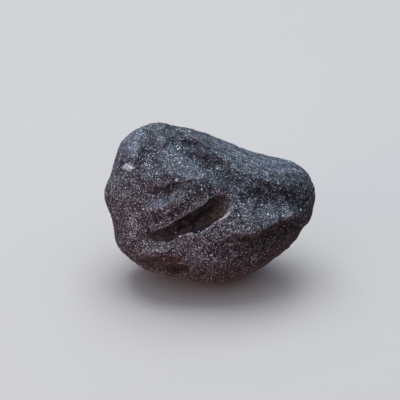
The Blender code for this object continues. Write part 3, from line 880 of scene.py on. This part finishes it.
def pale_specks_and_glints(tree, skin):
    """Where the pale specks are, partly dust and partly painted glints: fewer in shelter and in valleys,
    where shade is painted, between streaks, on calm or bare ground.
    """
    off_streak = times(tree, ranged(tree, skin.streaks, 0.56, 0.46), skin.crest)
    glint_specks = times(
        tree,
        ranged(tree, skin.glint_chance, 0.55, 0.86),
        ranged(tree, skin.glint, 0.5, 0.22),
        ranged(tree, skin.open, 0.0, 0.6, 0.35, 1.0),
        ranged(tree, skin.high, 0.1, 1.0, 0.7, 1.0),
        ranged(tree, skin.calm, 0.0, 1.0, 1.0, 0.4),
        ranged(tree, off_streak, 0.0, 1.0, 1.0, 0.3),
        ranged(tree, skin.crest, 0.0, 1.0, 1.0, 0.7),
        ranged(tree, skin.bare, 0.0, 1.0, 1.0, 0.35),
    )
    # rarer, larger pale dots: painted glints
    chip_glints = times(tree, ranged(tree, skin.chip_glint_chance, 0.55, 0.65), ranged(tree, skin.chip_glint, 0.14, 0.08))
    return maths(tree, "MAXIMUM", glint_specks, chip_glints)


def skin_tone(tree, skin, glint_specks, look):
    """The skin's colour: dark glass under frost, worn rims, grains, specks, pale lips and mineral, with
    painted light in it: shade in hollows and valleys, warm light low down, sheen, highlights and glints.
    """
    ground = frosted_ground(tree, skin)
    unshaded_frost = times(tree, ground, skin.high)
    # warm or cool glass, frost, grains and specks: at random by a cloud, and warmer low down and cooler
    # higher up as painted light
    cloud_and_low_warmth = ranged(tree, maths(tree, "ADD", skin.cloud, skin.low), 0.7, 1.3)
    painted_low_warmth = times(tree, skin.low, LOW_LIGHT_WARMTH)
    is_warm = ranged(tree, maths(tree, "ADD", skin.warm_chance, painted_low_warmth), 0.65, 1.1)
    speck_glint_tone = mixed(tree, is_warm, look.speck_glint, look.warm_speck_glint)
    streak_sheen = times(tree, ranged(tree, skin.streaks, 0.42, 0.62), skin.crest, skin.high)
    dusty = times(tree, ranged(tree, skin.dust_chance, 0.25, 0.5), unshaded_frost)
    grains = times(tree, ranged(tree, skin.sand_chance, 0.45, 0.62), dusty)
    broken = times(tree, ranged(tree, skin.gaps, 0.50, 0.62), unshaded_frost)
    # pale marks on the rims of the pits, painted as glints
    pit_rim_glints = times(tree, ranged(tree, skin.pit_walls, 0.14, 0.05), broken)
    layers = (
        (times(tree, unshaded_frost, FROST_COVER), mixed(tree, cloud_and_low_warmth, look.frost, look.warm_frost)),
        # painted sheen: a pale bluish tone on the calm patches, the crest's highlight and the flow streaks
        # above the crest
        (times(tree, maths(tree, "MAXIMUM", skin.calm, streak_sheen), SHEEN_COVER), look.painted_sheen),
        (skin.brown_and_warm_bounce, look.brown_and_warm_bounce),
        (times(tree, skin.worn_rim_highlight, RIM_COVER), look.worn_rim_highlight),
        (times(tree, grains, look.frost_share), mixed(tree, is_warm, look.frost_grain, look.warm_grain)),
        (times(tree, pit_rim_glints, PIT_GLINT_COVER), speck_glint_tone),
        (times(tree, glint_specks, look.speck_glint_share), speck_glint_tone),
        (skin.lip, look.lip),
        (skin.crust, mixed(tree, ranged(tree, skin.grain, 0.42, 0.6), look.crust_shade, look.crust)),
    )
    tone = mixed(tree, cloud_and_low_warmth, look.cool_black, look.warm_black)
    for share, colour in layers:
        tone = mixed(tree, share, tone, colour)
    return tone


def glass_material(look):
    """Black glass with a frosted, pitted and speckled skin, browner in places, partly as painted warm
    light, and with painted shade, sheen, highlights and glints.
    """
    material, tree, shader, place = plain_material("tektite_glass_skin")
    shader.inputs["Specular IOR Level"].default_value = look.gloss
    skin = skin_patterns(tree, place, look)
    glint_specks = pale_specks_and_glints(tree, skin)
    tree.links.new(skin_tone(tree, skin, glint_specks, look), shader.inputs["Base Color"])

    smoothest = look.roughness - ROUGHNESS_LESS
    roughness = ranged(tree, skin.mottle, 0.35, 0.7, smoothest, look.roughness + ROUGHNESS_MORE)
    roughness = maths(tree, "SUBTRACT", roughness, times(tree, glint_specks, SPECK_POLISH))
    tree.links.new(roughness, shader.inputs["Roughness"])

    normal = bumped(tree, skin.pits, look.pit_depth)
    normal = bumped(tree, skin.sand, look.grain_depth, normal)
    normal = bumped(tree, skin.grain, look.grain_depth, normal)
    tree.links.new(normal, shader.inputs["Normal"])
    return material


def studio_material(name, colour):
    """Matt paint with a faint cloud in it."""
    material, tree, shader, place = plain_material(name)
    shader.inputs["Roughness"].default_value = FLOOR_ROUGHNESS
    lighter = [share * FLOOR_LIGHTER for share in colour]
    tone = mixed(tree, noise_of(tree, place, FLOOR_CLOUD_SIZE, 3), colour, lighter)
    tree.links.new(tone, shader.inputs["Base Color"])
    return material


# Settings

LENGTH = {"subtype": "DISTANCE", "unit": "LENGTH"}
SHARE = {"min": 0.0, "max": 1.0, "subtype": "FACTOR"}
COLOUR = {"min": 0.0, "max": 1.0, "subtype": "COLOR"}


class TektiteLook(bpy.types.PropertyGroup):
    """Sizes and colours of the stone's skin."""

    face_size: FloatProperty(
        name="Face size", description="Width of the skin's even faces",
        default=0.24 * MM, min=0.1 * MM, **LENGTH,
    )
    smoothing: IntProperty(
        name="Smoothing", description="Rounds that soften the solid's facets", default=8, min=0, max=60
    )
    swell: FloatProperty(
        name="Swell", description="Makes up for what the smoothing takes off",
        default=0.06 * MM, min=0.0, **LENGTH,
    )
    cup_count: IntProperty(
        name="Cups", description="How many round etch cups overlap on the skin", default=2600, min=0
    )
    cup_radius: FloatProperty(
        name="Cup radius", description="Radius of the widest etch cup",
        default=1.3 * MM, min=LEAST_CUP, **LENGTH,
    )
    lump_rise: FloatProperty(
        name="Lump rise", description="Height of the low lumps between the cups",
        default=0.12 * MM, min=0.0, **LENGTH,
    )
    grain_rise: FloatProperty(
        name="Grain rise", description="Height of the coarse grain in the mesh",
        default=0.06 * MM, min=0.0, **LENGTH,
    )
    streak_rise: FloatProperty(
        name="Streak rise", description="Height of the flow streaks along the crest",
        default=0.14 * MM, min=0.0, **LENGTH,
    )
    pit_depth: FloatProperty(
        name="Pit depth", description="Depth of the finest pits",
        default=0.06 * MM, min=0.0, **LENGTH,
    )
    grain_depth: FloatProperty(
        name="Grain depth", description="Depth of the sandy grain",
        default=0.08 * MM, min=0.0, **LENGTH,
    )
    sand_size: FloatProperty(
        name="Sand size", description="Width of a grain of the frosted skin",
        default=0.18 * MM, min=0.05 * MM, **LENGTH,
    )
    speck_glint_spacing: FloatProperty(
        name="Speck spacing", description="From one place for a pale speck to the next",
        default=0.25 * MM, min=0.05 * MM, **LENGTH,
    )
    gloss: FloatProperty(
        name="Gloss", description="Strength of the skin's reflection",
        default=0.36, **SHARE,
    )
    roughness: FloatProperty(
        name="Roughness", description="Roughness of the frosted glass",
        default=0.5, **SHARE,
    )
    frost_share: FloatProperty(
        name="Frost strength", description="How strongly the frosted grains show",
        default=0.9, **SHARE,
    )
    speck_glint_share: FloatProperty(
        name="Speck strength", description="How pale the specks are against the glass",
        default=0.9, **SHARE,
    )
    # Warm and cool colours are chosen at random and by height: the warm ones low down and the cool ones
    # higher up are painted light
    cool_black: FloatVectorProperty(
        name="Cool black", description="Colour of the bluer glass",
        default=(0.0024, 0.0050, 0.0096), **COLOUR,
    )
    warm_black: FloatVectorProperty(
        name="Warm black", description="Colour of the browner glass",
        default=(0.0090, 0.0045, 0.0045), **COLOUR,
    )
    frost: FloatVectorProperty(
        name="Frost", description="Colour of the duller patches",
        default=(0.0072, 0.0088, 0.0130), **COLOUR,
    )
    warm_frost: FloatVectorProperty(
        name="Warm frost", description="Colour of the browner patches",
        default=(0.0165, 0.0100, 0.0105), **COLOUR,
    )
    # Painted bluish sheen of the sky on the calm patches and along the crest
    painted_sheen: FloatVectorProperty(
        name="Calm frost", description="Colour of the calm, bluer patches",
        default=(0.046, 0.049, 0.069), **COLOUR,
    )
    frost_grain: FloatVectorProperty(
        name="Frosted grain", description="Colour of the frosted grains",
        default=(0.100, 0.110, 0.136), **COLOUR,
    )
    warm_grain: FloatVectorProperty(
        name="Warm grain", description="Colour of the browner frosted grains",
        default=(0.150, 0.112, 0.116), **COLOUR,
    )
    # Colour of the pale specks, partly dust and partly painted glints of tiny facets
    speck_glint: FloatVectorProperty(
        name="Speck", description="Colour of the pale specks",
        default=(0.82, 0.87, 0.94), **COLOUR,
    )
    warm_speck_glint: FloatVectorProperty(
        name="Warm speck", description="Colour of the warmer pale specks",
        default=(0.94, 0.84, 0.85), **COLOUR,
    )
    # Colour of worn rims, painted paler as highlights where they catch the light
    worn_rim_highlight: FloatVectorProperty(
        name="Worn rim", description="Colour of worn edges",
        default=(0.20, 0.185, 0.175), **COLOUR,
    )
    # Colour of the palest worn edges, a painted highlight on the furrow's lips and the navel's arch
    lip: FloatVectorProperty(
        name="Pale lip", description="Colour of the palest worn edges",
        default=(0.42, 0.38, 0.36), **COLOUR,
    )
    # Brown of thin glass, also used as painted warm light bounced onto the lower left and into the furrow
    brown_and_warm_bounce: FloatVectorProperty(
        name="Bottle brown", description="Colour of thin and sheltered glass",
        default=(0.050, 0.028, 0.019), **COLOUR,
    )
    crust_shade: FloatVectorProperty(
        name="Crust shade", description="Colour of the mineral's hollows",
        default=(0.25, 0.26, 0.27), **COLOUR,
    )
    crust: FloatVectorProperty(
        name="Crust", description="Colour of the grains of pale mineral",
        default=(0.70, 0.72, 0.72), **COLOUR,
    )


class StudioLook(bpy.types.PropertyGroup):
    """Floor, lights and camera."""

    floor_width: FloatProperty(
        name="Floor width", description="Side of the square floor",
        default=3.0, min=0.5, **LENGTH,
    )
    floor: FloatVectorProperty(
        name="Floor", description="Colour of the floor",
        default=(0.42, 0.370, 0.318), **COLOUR,
    )
    key_power: FloatProperty(
        name="Overhead light", description="Power of the soft box above the stone, in watts",
        default=2.5, min=0.0,
    )
    key_colour: FloatVectorProperty(
        name="Overhead tint", description="Colour of the soft box",
        default=(0.80, 0.90, 1.0), **COLOUR,
    )
    fill_power: FloatProperty(
        name="Fill light", description="Power of the soft light low on the left, in watts",
        default=1.28, min=0.0,
    )
    fill_colour: FloatVectorProperty(
        name="Fill tint", description="Colour of the light low on the left",
        default=(1.0, 0.68, 0.74), **COLOUR,
    )
    camera_distance: FloatProperty(
        name="Camera distance", description="From the camera to the stone",
        default=0.45, min=0.1, **LENGTH,
    )
    view_width: FloatProperty(
        name="View width", description="How much the view takes in at the stone",
        default=80 * MM, min=20 * MM, **LENGTH,
    )


# Pieces

class TEKTITE_OT_stone(bpy.types.Operator):
    """Builds the stone's skin over the solid: crisp folds, lumps, etch cups and frosted glass."""

    bl_idname = "tektite.stone"
    bl_label = "Stone"

    def execute(self, context):
        look = context.scene.tektite_look
        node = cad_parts["tektite"]
        solid = BVHTree.FromObject(node, context.evaluated_depsgraph_get())
        turn = np.array(TO_STONE.to_3x3())
        middle = np.array(TO_STONE.translation)
        shape = fine_copy(node, look.face_size)
        smoothed(shape, look.smoothing)
        points = points_of(shape)
        soft = patch_share(points @ turn.T + middle, SOFT_PATCHES_MM)[:, None]
        points = points * (1 - soft) + levelled(shape, SOFT_ROUNDS) * soft
        move_points(shape, points)
        stone_points = points @ turn.T + middle
        facing = climb((normals_of(shape) @ turn.T)[:, 2], -0.15, 0.25) * in_front(stone_points)
        height = skin_height(points, stone_points, facing, look) + look.swell
        moved = points + fold_shift(stone_points) @ turn + normals_of(shape) * height[:, None]
        low, high = (np.array(corner) for corner in CAD_BOX)
        move_points(shape, np.clip(moved, low, high))
        shares = skin_shares(stone_points, shape, solid)
        piece = object_of(shape, "stone_skin", glass_material(look))
        for name, values in shares.items():
            write_share(piece, name, values)
        piece.data.shade_smooth()
        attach(piece, "root")
        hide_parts("tektite")
        return {"FINISHED"}


def add_area_light(name, place, target, size, power, colour):
    light = bpy.data.lights.new(name, "AREA")
    light.size = size
    light.energy = power
    light.color = colour
    lamp = bpy.data.objects.new(name, light)
    lamp.location = place
    lamp.rotation_euler = (target - place).to_track_quat("-Z", "Y").to_euler()
    bpy.context.scene.collection.objects.link(lamp)


def dome_world():
    """A dim room under a brighter, cooler ceiling."""
    world = bpy.data.worlds.new("studio_room")
    world.use_nodes = True
    tree = world.node_tree
    direction = tree.nodes.new("ShaderNodeTexCoord").outputs["Generated"]
    towards_ceiling = tree.nodes.new("ShaderNodeVectorMath")
    towards_ceiling.operation = "DOT_PRODUCT"
    towards_ceiling.inputs[1].default_value = CEILING_WAY
    tree.links.new(direction, towards_ceiling.inputs[0])
    height = ranged(tree, towards_ceiling.outputs["Value"], -1.0, 1.0, soft=False)
    ramp = tree.nodes.new("ShaderNodeValToRGB")
    tree.links.new(height, ramp.inputs["Fac"])
    stops = ramp.color_ramp.elements
    (_, below), *between, (_, above) = ROOM_TONES
    stops[0].color = (*below, 1)
    stops[1].color = (*above, 1)
    for place, colour in between:
        stops.new(place).color = (*colour, 1)
    tree.links.new(ramp.outputs["Color"], tree.nodes["Background"].inputs["Color"])
    return world


def add_camera(look):
    aim = STONE_MIDDLE + Vector((AIM_ACROSS, 0, 0)) + STONE_UP * AIM_UP
    lens = bpy.data.cameras.new("camera")
    lens.sensor_width = SENSOR_WIDTH
    lens.lens = SENSOR_WIDTH * look.camera_distance / look.view_width
    lens.clip_start = 10 * MM
    camera = bpy.data.objects.new("camera", lens)
    camera.location = aim + STONE_OUT * look.camera_distance
    camera.rotation_euler = (-STONE_OUT).to_track_quat("-Z", "Y").to_euler()
    bpy.context.scene.collection.objects.link(camera)
    bpy.context.scene.camera = camera


class TEKTITE_OT_studio(bpy.types.Operator):
    """Adds the pale floor, the soft light and the camera."""

    bl_idname = "tektite.studio"
    bl_label = "Studio"

    def execute(self, context):
        scene = context.scene
        look = scene.tektite_studio
        shape = bmesh.new()
        bmesh.ops.create_grid(shape, x_segments=8, y_segments=8, size=look.floor_width / 2)
        floor = object_of(shape, "studio_floor", studio_material("studio_floor_paint", look.floor))
        floor.visible_diffuse = False
        floor.visible_glossy = False
        add_area_light("overhead_soft_box", *OVERHEAD, look.key_power, look.key_colour)
        add_area_light("left_fill", *LEFT_FILL, look.fill_power, look.fill_colour)
        scene.world = dome_world()
        scene.view_settings.view_transform = "Standard"
        add_camera(look)
        return {"FINISHED"}


class TEKTITE_PT_panel(bpy.types.Panel):
    """Lists the stone's and the studio's steps in the sidebar."""

    bl_idname = "TEKTITE_PT_panel"
    bl_label = "Tektite"
    bl_space_type = "VIEW_3D"
    bl_region_type = "UI"
    bl_category = "Tektite"

    def draw(self, context):
        for look, step in (("tektite_look", "tektite.stone"), ("tektite_studio", "tektite.studio")):
            settings = getattr(context.scene, look)
            box = self.layout.box()
            for name in settings.__annotations__:
                box.prop(settings, name)
            box.operator(step)


CLASSES = (TektiteLook, StudioLook, TEKTITE_OT_stone, TEKTITE_OT_studio, TEKTITE_PT_panel)


def register():
    for each in CLASSES:
        bpy.utils.register_class(each)
    bpy.types.Scene.tektite_look = PointerProperty(type=TektiteLook)
    bpy.types.Scene.tektite_studio = PointerProperty(type=StudioLook)


def unregister():
    del bpy.types.Scene.tektite_studio
    del bpy.types.Scene.tektite_look
    for each in reversed(CLASSES):
        bpy.utils.unregister_class(each)


def main():
    register()
    bpy.ops.tektite.stone()
    bpy.ops.tektite.studio()


if __name__ == "__main__":
    main()
